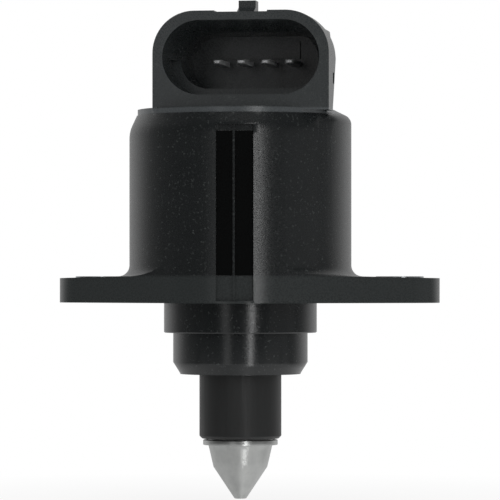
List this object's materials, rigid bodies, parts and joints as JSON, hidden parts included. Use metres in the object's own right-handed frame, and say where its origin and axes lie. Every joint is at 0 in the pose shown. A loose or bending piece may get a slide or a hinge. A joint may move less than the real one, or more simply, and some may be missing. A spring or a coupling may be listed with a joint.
{
  "type": "idle air control valve",
  "caption": "Idle air control valve: flanged cylindrical stepper housing with an electrical socket on top and a tapered metal plunger below.",
  "frame": {"origin": "on the valve axis, in the plane of the flange's seating face", "axes": "+Z along the valve axis towards the electrical socket; the socket opens towards -Y; the ears lie along X"},
  "size_m": [0.0627, 0.0362, 0.081],
  "materials": {
    "black_plastic": "fine moulded grain, satin black",
    "sleeve_plastic": "moulded, matte black",
    "cone_metal": "satin turned metal",
    "terminal_tin": "bright tin plate",
    "bush_steel": "plated steel",
    "pole_steel": "pressed steel",
    "bearing_steel": "ground steel",
    "bobbin_plastic": "natural moulded plastic",
    "copper_wire": "enamelled copper wire",
    "magnet": "moulded ferrite",
    "hub_brass": "turned brass"
  },
  "bodies": {
    "body": {"housing": "black_plastic", "connector_head": "black_plastic", "terminal_1": "terminal_tin", "terminal_2": "terminal_tin", "terminal_3": "terminal_tin", "terminal_4": "terminal_tin", "flange_bush_left": "bush_steel", "flange_bush_right": "bush_steel", "front_pole_cup": "pole_steel", "front_pole_plate": "pole_steel", "rear_pole_plate": "pole_steel", "rear_pole_cup": "pole_steel", "front_bobbin": "bobbin_plastic", "rear_bobbin": "bobbin_plastic", "front_winding": "copper_wire", "rear_winding": "copper_wire", "bearing_outer_ring": "bearing_steel", "rear_bush": "hub_brass"},
    "rotor": {"rotor_magnet": "magnet", "rotor_hub": "hub_brass", "bearing_inner_ring": "bearing_steel", "thrust_washer": "bush_steel"},
    "ball_cage": {"bearing_balls": "bearing_steel", "bearing_cage": "bobbin_plastic"},
    "plunger": {"lead_screw": "bush_steel", "plunger_sleeve": "sleeve_plastic", "pintle_cone": "cone_metal"}
  },
  "joints": [
    {"name": "rotor_spin", "type": "hinge", "parent": "body", "child": "rotor", "pos_m": [0, 0, 0], "axis": [0, 0, -1], "range_deg": [-360, 2880]},
    {"name": "plunger_slide", "type": "slide", "parent": "body", "child": "plunger", "axis": [0, 0, 1], "range_m": [-0.001, 0.008]},
    {"name": "cage_spin", "type": "hinge", "parent": "body", "child": "ball_cage", "pos_m": [0, 0, 0], "axis": [0, 0, -1], "range_deg": [-147, 1176]}
  ],
  "couplings": [
    {"joint": "plunger_slide", "follows": "rotor_spin", "m_per_rad": 0.00015915},
    {"joint": "cage_spin", "follows": "rotor_spin", "ratio": 0.408}
  ]
}
